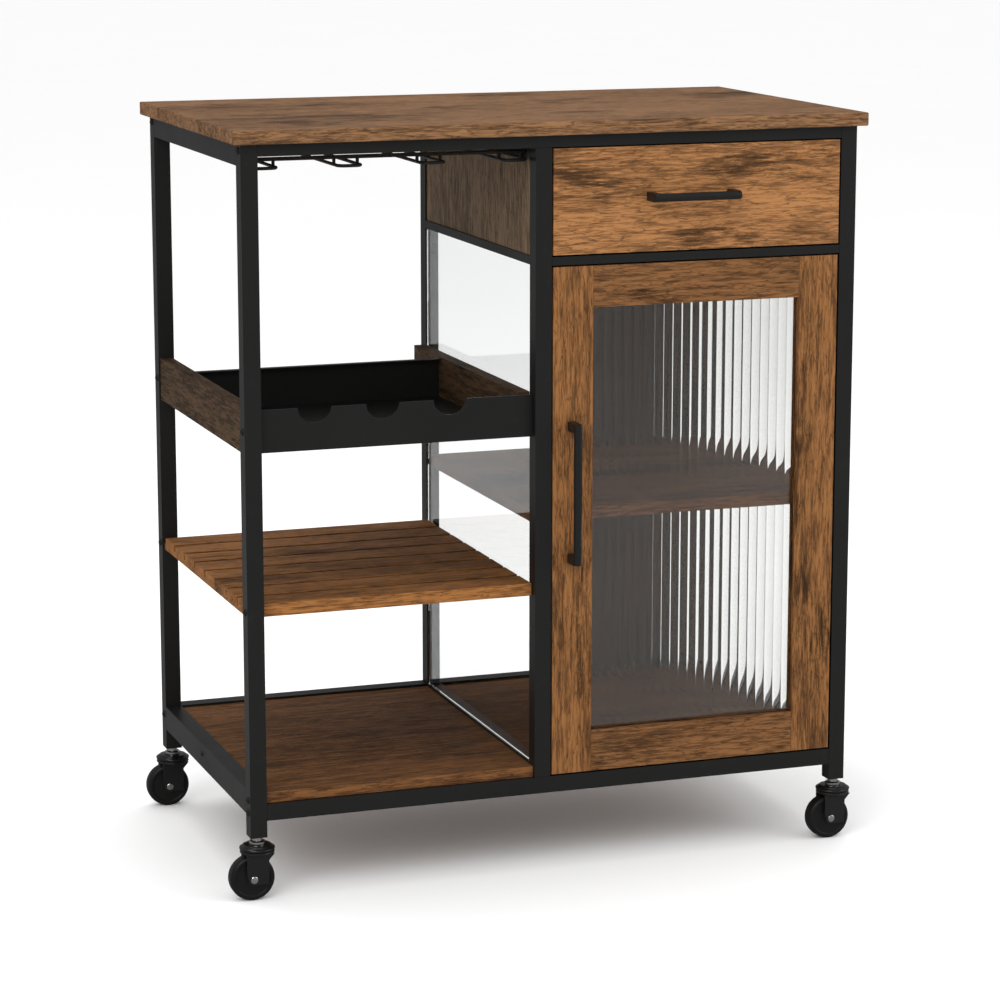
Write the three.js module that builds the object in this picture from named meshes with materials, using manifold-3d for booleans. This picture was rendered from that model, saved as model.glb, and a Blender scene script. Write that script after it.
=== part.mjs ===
// Bar cart on four swivel casters: a welded square-tube frame, a wooden top, and two bays.
// The left bay has a stemware rack, a bottle tray, a slatted shelf and a bottom board.
// The right bay has a drawer and, below it, a cupboard with a fluted-glass door.
//
// Millimetres, +Z up, the front faces -Y. Sizes are measured from the frame's front left
// corner on the floor. The last step moves everything so that the origin is on the floor
// in the middle of the whole object.
import * as THREE from "three";
import { mergeVertices } from "three/addons/utils/BufferGeometryUtils.js";
import Module from "manifold-3d";

const wasm = await Module();
wasm.setup();

// ---- Driving dimensions ----
const FRAME_WIDTH = 760;
const FRAME_DEPTH = 430;
const OVERALL_HEIGHT = 900;
const TUBE = 20; // side of the square posts
const TUBE_WALL = 1.5;
const GAP = 0.3; // between pieces that touch

const TOP_THICKNESS = 16;
const TOP_OVERHANG = 10;
const FRAME_TOP = OVERALL_HEIGHT - TOP_THICKNESS - GAP;
const POST_BOTTOM = 76;
const SIDE_RAIL_TOP_HEIGHT = 25;
const FRONT_RAIL_TOP_HEIGHT = 14;

const MIDDLE_LEFT = 352; // the middle frame's left face
const MIDDLE_RIGHT = MIDDLE_LEFT + TUBE;
const BAY_RIGHT = FRAME_WIDTH - TUBE;

const FRONT_RAIL = [96, 116]; // bottom and top of the front's lowest rail
const SIDE_RAIL = [102, 132];
const DRAWER_RAIL = [732, 742];
const BOARD = [116.3, 129]; // bottom boards of both bays

const SHEET = 1.5;
const TRAY = [530, 580];
const TRAY_BACK = 310;
const NOTCH_CENTRES = [86, 168, 250];
const NOTCH_WIDTH = 40;
const NOTCH_FLOOR = 562;

const SLATS = 8;
const SLAT_GAP = 7;
const SLAT_SHELF = [338, 353];

const RACK_LOOPS = 4;
const RACK_LOOP_WIDTH = 28;
const WIRE_RADIUS = 2;

const DOOR = { left: 374, right: 737.7, bottom: 118, top: 730, thick: 18, stile: 50 };
const PIVOT = { x: 730, y: 5, pin: 2.5, hole: 3 };
const GLASS_RIBS = 23;

const DRAWER = { left: 374, right: 738, bottom: 744, top: 868, thick: 18, back: 380 };
const HANDLE_RADIUS = 5;
const HANDLE_REACH = 28;

const WHEEL_RADIUS = 27;
const WHEEL_WIDTH = 18;
const CASTER_TRAIL = 7.5;
const AXLE_RADIUS = 3;

// ---- Looks ----
const look = (color, roughness, metalness) => ({ color, roughness, metalness });
const BLACK_STEEL = look(0x2b2a29, 0.55, 0.4);
const TOP_WOOD = look(0x80603f, 0.6, 0);
const FRONT_WOOD = look(0x8c5d35, 0.6, 0);
const DARK_WOOD = look(0x5f4632, 0.65, 0);
const CLEAR_GLASS = look(0xcfd8d6, 0.08, 0);
const RIBBED_GLASS = look(0x5a5348, 0.15, 0);
const SILVER = look(0xb8b8b8, 0.3, 1);
const BLACK_RUBBER = look(0x1e1e1e, 0.8, 0);

const cart = new THREE.Group();

function addPiece(name, geometry, { color, roughness, metalness }) {
  const material = new THREE.MeshStandardMaterial({ color, roughness, metalness });
  const mesh = new THREE.Mesh(geometry, material);
  mesh.name = name;
  cart.add(mesh);
  return mesh;
}

// ---- Shapes ----
function block([x0, y0, z0], [x1, y1, z1]) {
  const geometry = new THREE.BoxGeometry(x1 - x0, y1 - y0, z1 - z0);
  return geometry.translate((x0 + x1) / 2, (y0 + y1) / 2, (z0 + z1) / 2);
}

// The flat section is drawn in the two axes that follow the extrusion's axis in the order
// X, Y, Z, X: along Z it is drawn in X and Y, along X in Y and Z, along Y in Z and X.
const AXES = {
  x: [[0, 1, 0], [0, 0, 1], [1, 0, 0]],
  y: [[0, 0, 1], [1, 0, 0], [0, 1, 0]],
  z: [[1, 0, 0], [0, 1, 0], [0, 0, 1]],
};

function extrudeAlong(axis, section, from, to, options = {}) {
  const geometry = new THREE.ExtrudeGeometry(section, {
    depth: to - from,
    bevelEnabled: false,
    curveSegments: 12,
    ...options,
  });
  geometry.translate(0, 0, from);
  const basis = AXES[axis].map((v) => new THREE.Vector3(...v));
  return geometry.applyMatrix4(new THREE.Matrix4().makeBasis(...basis));
}

function polygon(points) {
  return new THREE.Shape(points.map(([u, v]) => new THREE.Vector2(u, v)));
}

const rectangle = (u0, v0, u1, v1) => polygon([[u0, v0], [u1, v0], [u1, v1], [u0, v1]]);

// A rectangular tube, open at both ends, that fills the box from lo to hi.
function tube(axis, lo, hi) {
  const [u, v, w] = { x: [1, 2, 0], y: [2, 0, 1], z: [0, 1, 2] }[axis];
  const section = rectangle(lo[u], lo[v], hi[u], hi[v]);
  const t = TUBE_WALL;
  section.holes.push(rectangle(lo[u] + t, lo[v] + t, hi[u] - t, hi[v] - t));
  return extrudeAlong(axis, section, lo[w], hi[w]);
}

function cylinder(axis, radius, from, to, [u, v], sides = 12) {
  const section = new THREE.Shape();
  section.absarc(u, v, radius, 0, 2 * Math.PI);
  return extrudeAlong(axis, section, from, to, { curveSegments: sides });
}

// ---- Joining and cutting ----
function toSolid(geometry) {
  const bare = geometry.clone();
  bare.deleteAttribute("normal");
  bare.deleteAttribute("uv");
  const merged = mergeVertices(bare, 1e-4);
  return new wasm.Manifold(
    new wasm.Mesh({
      numProp: 3,
      vertProperties: merged.attributes.position.array,
      triVerts: new Uint32Array(merged.index.array),
    }),
  );
}

function toGeometry(solid) {
  const { vertProperties, triVerts } = solid.getMesh();
  const geometry = new THREE.BufferGeometry();
  geometry.setAttribute("position", new THREE.Float32BufferAttribute(vertProperties, 3));
  geometry.setIndex(new THREE.Uint32BufferAttribute(triVerts, 1));
  geometry.computeVertexNormals();
  return geometry;
}

const join = (...pieces) => toGeometry(pieces.map(toSolid).reduce((a, b) => a.add(b)));
const cut = (piece, ...tools) =>
  toGeometry(tools.map(toSolid).reduce((a, b) => a.subtract(b), toSolid(piece)));

// ---- Frame: posts ----
const BACK_POST_FRONT = FRAME_DEPTH - TUBE;
const post = (x, y, z0, z1) => tube("z", [x, y, z0], [x + TUBE, y + TUBE, z1]);
const SIDE_RAIL_TOP = FRAME_TOP - SIDE_RAIL_TOP_HEIGHT;
const FRONT_RAIL_TOP = FRAME_TOP - FRONT_RAIL_TOP_HEIGHT;

for (const [side, x] of [["left", 0], ["right", BAY_RIGHT]]) {
  addPiece(`post_front_${side}`, post(x, 0, POST_BOTTOM, FRAME_TOP), BLACK_STEEL);
  addPiece(`post_back_${side}`, post(x, BACK_POST_FRONT, POST_BOTTOM, FRAME_TOP), BLACK_STEEL);
}
addPiece(
  "post_front_middle",
  post(MIDDLE_LEFT, 0, FRONT_RAIL[1] + GAP, FRONT_RAIL_TOP - GAP),
  BLACK_STEEL,
);
addPiece(
  "post_back_middle",
  post(MIDDLE_LEFT, BACK_POST_FRONT, SIDE_RAIL[1] + GAP, SIDE_RAIL_TOP - GAP),
  BLACK_STEEL,
);

// ---- Frame: rails ----
const RAIL_X = [TUBE + GAP, BAY_RIGHT - GAP]; // between the corner posts, left to right
const RAIL_Y = [TUBE + GAP, BACK_POST_FRONT - GAP]; // between the posts, front to back
const acrossRail = (y, z0, z1) => tube("x", [RAIL_X[0], y, z0], [RAIL_X[1], y + TUBE, z1]);
const depthRail = (x, z0, z1) => tube("y", [x, RAIL_Y[0], z0], [x + TUBE, RAIL_Y[1], z1]);

addPiece("top_rail_front", acrossRail(0, FRONT_RAIL_TOP, FRAME_TOP), BLACK_STEEL);
addPiece("top_rail_back", acrossRail(BACK_POST_FRONT, SIDE_RAIL_TOP, FRAME_TOP), BLACK_STEEL);
addPiece("bottom_rail_back", acrossRail(BACK_POST_FRONT, ...SIDE_RAIL), BLACK_STEEL);
for (const [place, x] of [["left", 0], ["middle", MIDDLE_LEFT], ["right", BAY_RIGHT]]) {
  addPiece(`top_rail_${place}`, depthRail(x, SIDE_RAIL_TOP, FRAME_TOP), BLACK_STEEL);
  addPiece(`bottom_rail_${place}`, depthRail(x, ...SIDE_RAIL), BLACK_STEEL);
  if (place !== "left") {
    addPiece(`drawer_rail_${place}`, depthRail(x, ...DRAWER_RAIL), BLACK_STEEL);
  }
}

// The two front rails carry the door's pivot pins, which are welded through their walls.
const PIN_LENGTH = 12;
const pin = (z0, z1) => cylinder("z", PIVOT.pin, z0, z1, [PIVOT.x, PIVOT.y]);
addPiece(
  "bottom_rail_front",
  join(acrossRail(0, ...FRONT_RAIL), pin(FRONT_RAIL[1] - 1, FRONT_RAIL[1] + PIN_LENGTH)),
  BLACK_STEEL,
);
const drawerRail = tube(
  "x",
  [MIDDLE_RIGHT + GAP, 0, DRAWER_RAIL[0]],
  [RAIL_X[1], TUBE, DRAWER_RAIL[1]],
);
addPiece(
  "drawer_rail_front",
  join(drawerRail, pin(DRAWER_RAIL[0] - PIN_LENGTH, DRAWER_RAIL[0] + 1)),
  BLACK_STEEL,
);

// ---- Top ----
const TOP_EDGE = 1.5; // radius of the softened edges
const topOutline = rectangle(
  -TOP_OVERHANG + TOP_EDGE,
  -TOP_OVERHANG + TOP_EDGE,
  FRAME_WIDTH + TOP_OVERHANG - TOP_EDGE,
  FRAME_DEPTH + TOP_OVERHANG - TOP_EDGE,
);
const tabletop = new THREE.ExtrudeGeometry(topOutline, {
  depth: TOP_THICKNESS - 2 * TOP_EDGE,
  bevelThickness: TOP_EDGE,
  bevelSize: TOP_EDGE,
  bevelSegments: 3,
});
tabletop.translate(0, 0, OVERALL_HEIGHT - TOP_THICKNESS + TOP_EDGE);
addPiece("tabletop", tabletop, TOP_WOOD);

// ---- Boards, back and side glass ----
const BOARD_FRONT = 22; // boards behind the door and the drawer start here
const BACK_PANEL = [404, RAIL_Y[1]];
const BACK_PANEL_LEFT = 500; // the back board stops short of the left pane, which stays clear
const PANE = 4; // thickness of the side panes
const PANE_SETBACK = 2; // of a pane from its frame's outer face
const SHELF = [424, 439];

addPiece(
  "bottom_board_left",
  block([RAIL_X[0], 5, BOARD[0]], [MIDDLE_LEFT - GAP, RAIL_Y[1], BOARD[1]]),
  DARK_WOOD,
);
addPiece(
  "cupboard_floor",
  block(
    [MIDDLE_RIGHT + GAP, BOARD_FRONT, BOARD[0]],
    [RAIL_X[1], BACK_PANEL[0] - GAP, BOARD[1]],
  ),
  DARK_WOOD,
);
addPiece(
  "cupboard_back",
  block(
    [BACK_PANEL_LEFT, BACK_PANEL[0], BOARD[0]],
    [RAIL_X[1], BACK_PANEL[1], SIDE_RAIL_TOP],
  ),
  DARK_WOOD,
);

const paneLeft = MIDDLE_LEFT + PANE_SETBACK;
const paneRight = FRAME_WIDTH - PANE_SETBACK;
addPiece(
  "cupboard_shelf",
  block(
    [paneLeft + PANE + GAP, BOARD_FRONT, SHELF[0]],
    [paneRight - PANE - GAP, BACK_PANEL[0] - GAP, SHELF[1]],
  ),
  DARK_WOOD,
);
const paneZ = [SIDE_RAIL[1] + GAP, DRAWER_RAIL[0] - GAP];
const panelZ = [DRAWER_RAIL[1] + GAP, SIDE_RAIL_TOP - GAP];
const PANEL = 17; // thickness of the panels beside the drawer
for (const [side, x0, x1] of [
  ["left", paneLeft, paneLeft + PANE],
  ["right", paneRight - PANE, paneRight],
]) {
  const pane = block([x0, RAIL_Y[0], paneZ[0]], [x1, RAIL_Y[1], paneZ[1]]);
  addPiece(`side_glass_${side}`, pane, CLEAR_GLASS);
}
for (const [side, x0] of [["left", paneLeft], ["right", paneRight - PANEL]]) {
  const panel = block([x0, RAIL_Y[0], panelZ[0]], [x0 + PANEL, RAIL_Y[1], panelZ[1]]);
  addPiece(`drawer_panel_${side}`, panel, DARK_WOOD);
}

// ---- Bottle tray: one folded sheet between two wooden boards ----
const TRAY_FRONT = 10;
const TRAY_BOARD = 16;
const trayRight = MIDDLE_LEFT - TRAY_BOARD - GAP;

// The front wall's outline, drawn in Z and X, with a round-bottomed notch for each bottle.
function trayFrontOutline() {
  const outline = new THREE.Shape();
  const radius = NOTCH_WIDTH / 2;
  outline.moveTo(TRAY[0], RAIL_X[0]);
  outline.lineTo(TRAY[1], RAIL_X[0]);
  for (const centre of NOTCH_CENTRES) {
    for (let i = 0; i <= 20; i++) {
      const angle = (Math.PI * i) / 20;
      const depth = (TRAY[1] - NOTCH_FLOOR) * Math.sin(angle);
      outline.lineTo(TRAY[1] - depth, centre - radius * Math.cos(angle));
    }
  }
  outline.lineTo(TRAY[1], MIDDLE_LEFT - GAP);
  outline.lineTo(TRAY[0], MIDDLE_LEFT - GAP);
  return outline;
}

const TRAY_LIP = 9; // the back wall's edge, folded inwards
addPiece(
  "wine_tray",
  join(
    extrudeAlong("y", trayFrontOutline(), TRAY_FRONT, TRAY_FRONT + SHEET),
    block([RAIL_X[0], TRAY_FRONT + 1, TRAY[0]], [trayRight, TRAY_BACK, TRAY[0] + SHEET]),
    block([RAIL_X[0], TRAY_BACK - SHEET, TRAY[0]], [trayRight, TRAY_BACK, TRAY[1]]),
    block([RAIL_X[0], TRAY_BACK - TRAY_LIP, TRAY[1] - SHEET], [trayRight, TRAY_BACK, TRAY[1]]),
  ),
  BLACK_STEEL,
);
for (const [side, x0] of [["left", 2], ["right", MIDDLE_LEFT - TRAY_BOARD]]) {
  const board = block([x0, RAIL_Y[0], TRAY[0]], [x0 + TRAY_BOARD, RAIL_Y[1], TRAY[1] + 2]);
  addPiece(`tray_board_${side}`, board, DARK_WOOD);
}

// ---- Slatted shelf: slats along X, let into two lower battens and glued ----
const SLAT_FRONT = 10;
const SLAT_BACK = 405;
const BATTEN = 20;
const SHELF_LEFT = 3;
const BATTEN_TOP = SLAT_SHELF[1] - 8;
const batten = (x0) =>
  block([x0, RAIL_Y[0], SLAT_SHELF[0]], [x0 + BATTEN, RAIL_Y[1], BATTEN_TOP]);
const slatWidth = (SLAT_BACK - SLAT_FRONT - (SLATS - 1) * SLAT_GAP) / SLATS;
const slats = [];
for (let i = 0; i < SLATS; i++) {
  const y = SLAT_FRONT + i * (slatWidth + SLAT_GAP);
  const back = y + slatWidth;
  const endFront = Math.max(y, RAIL_Y[0]); // the front slat's end clears the post
  slats.push(
    block([RAIL_X[0], y, SLAT_SHELF[0]], [MIDDLE_LEFT - 1, back, SLAT_SHELF[1]]),
    block([SHELF_LEFT, endFront, SLAT_SHELF[0]], [MIDDLE_LEFT - 1, back, SLAT_SHELF[1]]),
  );
}
addPiece(
  "slatted_shelf",
  join(batten(SHELF_LEFT), batten(MIDDLE_LEFT - BATTEN + 1), ...slats),
  DARK_WOOD,
);

// ---- Stemware rack: wire loops under two flat bars ----
const RACK_Z = 854;
const RACK_BAR = [861, 864];
const RACK_FRONT = 24;
const RACK_BACK = 386;
const firstLoop = 36;
const loopPitch = (MIDDLE_LEFT - firstLoop + TUBE - firstLoop) / (RACK_LOOPS - 1);

// One loop: up at the back, forward, round the front end, back again and up.
function rackLoop(centre) {
  const half = RACK_LOOP_WIDTH / 2;
  const corner = 8;
  const points = [[-half, RACK_BACK, RACK_BAR[0] + 1], [-half, RACK_BACK, RACK_Z]];
  for (let i = 0; i <= 3; i++) {
    const angle = (Math.PI / 2) * (i / 3);
    points.push([
      -half + corner * (1 - Math.cos(angle)),
      RACK_FRONT + corner * (1 - Math.sin(angle)),
      RACK_Z,
    ]);
  }
  const mirrored = points.map(([x, y, z]) => [-x, y, z]).reverse();
  const all = [...points, ...mirrored].map(([x, y, z]) => new THREE.Vector3(centre + x, y, z));
  return all.slice(1).map((to, i) => wire(all[i], to));
}

// A straight piece of wire with six sides, slightly longer than its centre line.
function wire(from, to) {
  const direction = to.clone().sub(from);
  const length = direction.length();
  const geometry = new THREE.CylinderGeometry(WIRE_RADIUS, WIRE_RADIUS, length + 1.6, 6);
  const turn = new THREE.Quaternion();
  turn.setFromUnitVectors(new THREE.Vector3(0, 1, 0), direction.normalize());
  geometry.applyQuaternion(turn);
  const middle = from.clone().add(to).multiplyScalar(0.5);
  return geometry.translate(middle.x, middle.y, middle.z);
}

const rackPieces = [];
for (const y of [34, RACK_BACK - 10]) {
  rackPieces.push(
    block([RAIL_X[0], y, RACK_BAR[0]], [MIDDLE_LEFT - GAP, y + 20, RACK_BAR[1]]),
  );
}
for (let i = 0; i < RACK_LOOPS; i++) {
  const centre = firstLoop + i * loopPitch;
  rackPieces.push(...rackLoop(centre));
  for (const side of [-1, 1]) {
    const x = centre + (side * RACK_LOOP_WIDTH) / 2;
    rackPieces.push(
      wire(new THREE.Vector3(x, 44, RACK_Z), new THREE.Vector3(x, 44, RACK_BAR[0] + 0.5)),
    );
  }
}
addPiece("stemware_rack", join(...rackPieces), BLACK_STEEL);

// ---- Drawer and its runners ----
const RUNNER = { z0: 800, z1: 812, reach: 9.7 };
const DRAWER_SIDE = 15.5;
const SIDE_Z = [756, 846];
const SIDE_CLEARANCE = 3.5;
const BOTTOM_GROOVE = [762, 768];
const panelInner = paneLeft + PANEL;
const mirrorX = (x) => MIDDLE_RIGHT + BAY_RIGHT - x;

// Draws a left-hand section in Z and X, or its mirror image for the right-hand side.
function sideSection(points, side) {
  if (side === "left") return polygon(points.map(([x, z]) => [z, x]));
  return polygon(points.map(([x, z]) => [z, mirrorX(x)]).reverse());
}

const outer = panelInner + SIDE_CLEARANCE;
const inner = outer + DRAWER_SIDE;
const runnerEnd = panelInner + RUNNER.reach;
for (const side of ["left", "right"]) {
  const runner = sideSection(
    [
      [panelInner + GAP, RUNNER.z0],
      [runnerEnd, RUNNER.z0],
      [runnerEnd, RUNNER.z1],
      [panelInner + GAP, RUNNER.z1],
    ],
    side,
  );
  addPiece(`drawer_runner_${side}`, extrudeAlong("y", runner, 24, 400), SILVER);

  const board = sideSection(
    [
      [outer, SIDE_Z[0]],
      [inner, SIDE_Z[0]],
      [inner, BOTTOM_GROOVE[0]],
      [inner - 6, BOTTOM_GROOVE[0]],
      [inner - 6, BOTTOM_GROOVE[1]],
      [inner, BOTTOM_GROOVE[1]],
      [inner, SIDE_Z[1]],
      [outer, SIDE_Z[1]],
      [outer, RUNNER.z1 + 0.5],
      [runnerEnd + 0.5, RUNNER.z1 + 0.5],
      [runnerEnd + 0.5, RUNNER.z0 - 0.5],
      [outer, RUNNER.z0 - 0.5],
    ],
    side,
  );
  addPiece(
    `drawer_side_${side}`,
    extrudeAlong("y", board, DRAWER.thick + GAP, DRAWER.back),
    DARK_WOOD,
  );
}
addPiece(
  "drawer_front",
  block([DRAWER.left, 0, DRAWER.bottom], [DRAWER.right, DRAWER.thick, DRAWER.top]),
  FRONT_WOOD,
);
addPiece(
  "drawer_bottom",
  block(
    [inner - 6 + GAP, DRAWER.thick + GAP, BOTTOM_GROOVE[0] + GAP],
    [mirrorX(inner - 6 + GAP), DRAWER.back, BOTTOM_GROOVE[1] - GAP],
  ),
  DARK_WOOD,
);
addPiece(
  "drawer_back",
  block(
    [inner + GAP, DRAWER.back - 15, BOTTOM_GROOVE[1] + GAP],
    [mirrorX(inner + GAP), DRAWER.back, SIDE_Z[1] - 4],
  ),
  DARK_WOOD,
);

// ---- Bar handles: a round bar with a square-cut foot at each end ----
const FOOT = { along: 9, across: 11 };

function barHandle(axis, from, to, across) {
  const y = -HANDLE_REACH + HANDLE_RADIUS;
  const bar =
    axis === "x"
      ? cylinder("x", HANDLE_RADIUS, from, to, [y, across])
      : cylinder("z", HANDLE_RADIUS, from, to, [across, y]);
  const foot = (a0, a1) => {
    const half = FOOT.across / 2;
    return axis === "x"
      ? block([a0, 2 - HANDLE_REACH, across - half], [a1, -GAP, across + half])
      : block([across - FOOT.along / 2, 2 - HANDLE_REACH, a0], [across + FOOT.along / 2, -GAP, a1]);
  };
  const length = axis === "x" ? FOOT.along : FOOT.across;
  return join(bar, foot(from, from + length), foot(to - length, to));
}

addPiece("drawer_handle", barHandle("x", 490, 601, 809), BLACK_STEEL);
addPiece("door_handle", barHandle("z", 377, 547, 397), BLACK_STEEL);

// ---- Door: two stiles and two rails, grooved for the glass ----
const GROOVE = { depth: 8, front: 6, back: 12 };
const glassLeft = DOOR.left + DOOR.stile;
const glassRight = DOOR.right - DOOR.stile;
const glassBottom = DOOR.bottom + DOOR.stile;
const glassTop = DOOR.top - DOOR.stile + 1;

// A board's section with a groove in the edge at `edge`, opening towards `edge`.
function groovedSection(far, edge) {
  const groove = edge + (far < edge ? -GROOVE.depth : GROOVE.depth);
  return [
    [far, 0],
    [edge, 0],
    [edge, GROOVE.front],
    [groove, GROOVE.front],
    [groove, GROOVE.back],
    [edge, GROOVE.back],
    [edge, DOOR.thick],
    [far, DOOR.thick],
  ];
}

const pinHole = (z0, z1) => cylinder("z", PIVOT.hole, z0, z1, [PIVOT.x, PIVOT.y]);
const leftStile = polygon(groovedSection(DOOR.left, glassLeft));
const rightStile = polygon(groovedSection(DOOR.right, glassRight).reverse());
addPiece(
  "door_stile_left",
  extrudeAlong("z", leftStile, DOOR.bottom, DOOR.top),
  FRONT_WOOD,
);
addPiece(
  "door_stile_right",
  cut(
    extrudeAlong("z", rightStile, DOOR.bottom, DOOR.top),
    pinHole(DOOR.bottom - 1, DOOR.bottom + PIN_LENGTH),
    pinHole(DOOR.top - PIN_LENGTH, DOOR.top + 1),
  ),
  FRONT_WOOD,
);
for (const [place, far, edge] of [
  ["top", DOOR.top, glassTop],
  ["bottom", DOOR.bottom, glassBottom],
]) {
  const section = polygon(groovedSection(far, edge).map(([z, y]) => [y, z]));
  const rail = extrudeAlong("x", section, glassLeft + GAP, glassRight - GAP);
  addPiece(`door_rail_${place}`, rail, FRONT_WOOD);
}

// The pane is flat in the grooves and has half-round ribs on its front between them.
const RIB_HEIGHT = 0.7;
function ribbedSection() {
  const edge = GROOVE.depth - GAP;
  const front = GROOVE.front + RIB_HEIGHT + GAP;
  const back = GROOVE.back - GAP;
  const pitch = (glassRight - glassLeft) / GLASS_RIBS;
  const points = [[glassLeft - edge, front]];
  for (let i = 0; i < GLASS_RIBS; i++) {
    for (let j = 0; j < 6; j++) {
      const x = glassLeft + (i + j / 6) * pitch;
      points.push([x, front - RIB_HEIGHT * Math.sin((Math.PI * j) / 6)]);
    }
  }
  points.push([glassRight, front]);
  points.push([glassRight + edge, front]);
  points.push([glassRight + edge, back]);
  points.push([glassLeft - edge, back]);
  return polygon(points);
}
addPiece(
  "door_glass",
  extrudeAlong(
    "z",
    ribbedSection(),
    glassBottom - GROOVE.depth + GAP,
    glassTop + GROOVE.depth - GAP,
  ),
  RIBBED_GLASS,
);

// ---- Casters ----
// Height bands of the swivel: the fork's crown turns under the fixed race.
const CROWN = [55.5, 60.5];
const RACE = [61, 67];
const LEG = { inner: 11.5, outer: 14 };
const EAR_RADIUS = 7;

// A solid of revolution about Z, standing at the caster's centre.
function turned(profile, sides = 20) {
  const points = profile.map(([r, z]) => new THREE.Vector2(r, z));
  return new THREE.LatheGeometry(points, sides).rotateX(Math.PI / 2);
}

const stemProfile = [
  [0, RACE[0]],
  [20, RACE[0]],
  [21, RACE[0] + 1.5],
  [20, RACE[0] + 3],
  [17, RACE[1]],
  [6, RACE[1]],
  [6, POST_BOTTOM - GAP],
  [5, POST_BOTTOM + 2],
  [5, 100],
  [0, 100],
];

const crownProfile = [
  [0, CROWN[0]],
  [19, CROWN[0]],
  [20.5, CROWN[0] + 2],
  [20, CROWN[1]],
  [0, CROWN[1]],
];

const wheelCentreX = -CASTER_TRAIL;

// A leg of the fork in Z and X: wide under the crown, rounded round the axle.
function legOutline() {
  const points = [
    [CROWN[0] + 2, -16],
    [CROWN[0] + 2, 18],
    [49.5, 11],
    [20.5, 10.5],
    [WHEEL_RADIUS - EAR_RADIUS, wheelCentreX + 2],
  ];
  for (let i = 0; i <= 8; i++) {
    const angle = (Math.PI / 2) * (i / 8);
    points.push([
      WHEEL_RADIUS - EAR_RADIUS * Math.cos(angle),
      wheelCentreX - EAR_RADIUS * Math.sin(angle),
    ]);
  }
  points.push([34, -16]);
  return polygon(points.reverse());
}

function fork() {
  const leg = legOutline();
  const leftLeg = extrudeAlong("y", leg, -LEG.outer, -LEG.inner);
  const rightLeg = extrudeAlong("y", leg, LEG.inner, LEG.outer);
  const axle = cylinder(
    "y",
    AXLE_RADIUS,
    -LEG.outer - 2,
    LEG.outer + 2,
    [WHEEL_RADIUS, wheelCentreX],
  );
  return join(turned(crownProfile), leftLeg, rightLeg, axle);
}

// The wheel turns about Y: a tread with rounded shoulders, a sunk web and a hub.
function wheel() {
  const half = WHEEL_WIDTH / 2;
  const bore = AXLE_RADIUS + 0.4;
  const face = [
    [bore, half + 1],
    [7, half + 1],
    [8, half - 1],
    [WHEEL_RADIUS - 3, half],
    [WHEEL_RADIUS - 0.8, half - 1.4],
    [WHEEL_RADIUS, half - 4],
  ];
  const profile = [...face, ...face.map(([r, w]) => [r, -w]).reverse(), face[0]];
  const points = profile.reverse().map(([r, w]) => new THREE.Vector2(r, w));
  const geometry = new THREE.LatheGeometry(points, 30);
  return geometry.translate(wheelCentreX, 0, WHEEL_RADIUS);
}

for (const [place, x, y] of [
  ["front_left", TUBE / 2, TUBE / 2],
  ["front_right", FRAME_WIDTH - TUBE / 2, TUBE / 2],
  ["back_left", TUBE / 2, FRAME_DEPTH - TUBE / 2],
  ["back_right", FRAME_WIDTH - TUBE / 2, FRAME_DEPTH - TUBE / 2],
]) {
  for (const [piece, geometry, finish] of [
    ["stem", turned(stemProfile), SILVER],
    ["fork", fork(), BLACK_STEEL],
    ["wheel", wheel(), BLACK_RUBBER],
  ]) {
    addPiece(`caster_${piece}_${place}`, geometry.translate(x, y, 0), finish);
  }
}

// ---- Origin: on the floor under the middle of the whole object ----
const leftEnd = TUBE / 2 - CASTER_TRAIL - WHEEL_RADIUS;
const rightEnd = FRAME_WIDTH + TOP_OVERHANG;
const frontEnd = -HANDLE_REACH;
const backEnd = FRAME_DEPTH + TOP_OVERHANG;
cart.position.set(-(leftEnd + rightEnd) / 2, -(frontEnd + backEnd) / 2, 0);

export default cart;
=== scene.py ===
"""The look of the bar cart: materials for the CAD nodes, and finer pieces for the round ones."""

import math

import bpy
import numpy as np
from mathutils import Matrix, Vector


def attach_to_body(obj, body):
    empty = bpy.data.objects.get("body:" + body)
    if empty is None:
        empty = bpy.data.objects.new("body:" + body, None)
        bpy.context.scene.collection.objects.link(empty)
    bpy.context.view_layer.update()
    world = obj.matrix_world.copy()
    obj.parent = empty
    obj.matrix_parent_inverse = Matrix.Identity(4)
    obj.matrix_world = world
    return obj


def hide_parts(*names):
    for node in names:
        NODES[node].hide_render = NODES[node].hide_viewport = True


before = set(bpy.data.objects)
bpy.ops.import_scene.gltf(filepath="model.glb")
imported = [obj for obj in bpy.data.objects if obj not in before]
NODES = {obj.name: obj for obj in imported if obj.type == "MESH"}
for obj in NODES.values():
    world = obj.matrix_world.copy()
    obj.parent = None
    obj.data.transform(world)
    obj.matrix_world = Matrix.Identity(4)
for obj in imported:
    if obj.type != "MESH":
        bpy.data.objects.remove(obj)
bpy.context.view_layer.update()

# The frame's front left corner on the floor, in the part's own frame. Positions below
# that are in millimetres are measured from it.
CORNER = np.array([-0.37275, -0.206, 0.0])
MM = 0.001


def place(points_mm):
    """Points in millimetres from the frame's front left corner, as metres in the part's frame."""
    return np.asarray(points_mm, float) * MM + CORNER


# ---------------------------------------------------------------- camera, floor and light


def make_camera():
    """A long lens from the front left, a little above the top."""
    data = bpy.data.cameras.new("camera")
    data.lens = 117.75
    data.sensor_width = 36.0
    data.clip_end = 60.0
    camera = bpy.data.objects.new("camera", data)
    camera.location = place([-947.3, -3546.7, 1215.1])
    camera.rotation_euler = (math.radians(90 - 11.37), 0.0, math.radians(-19.49))
    bpy.context.scene.collection.objects.link(camera)
    bpy.context.scene.camera = camera


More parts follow.
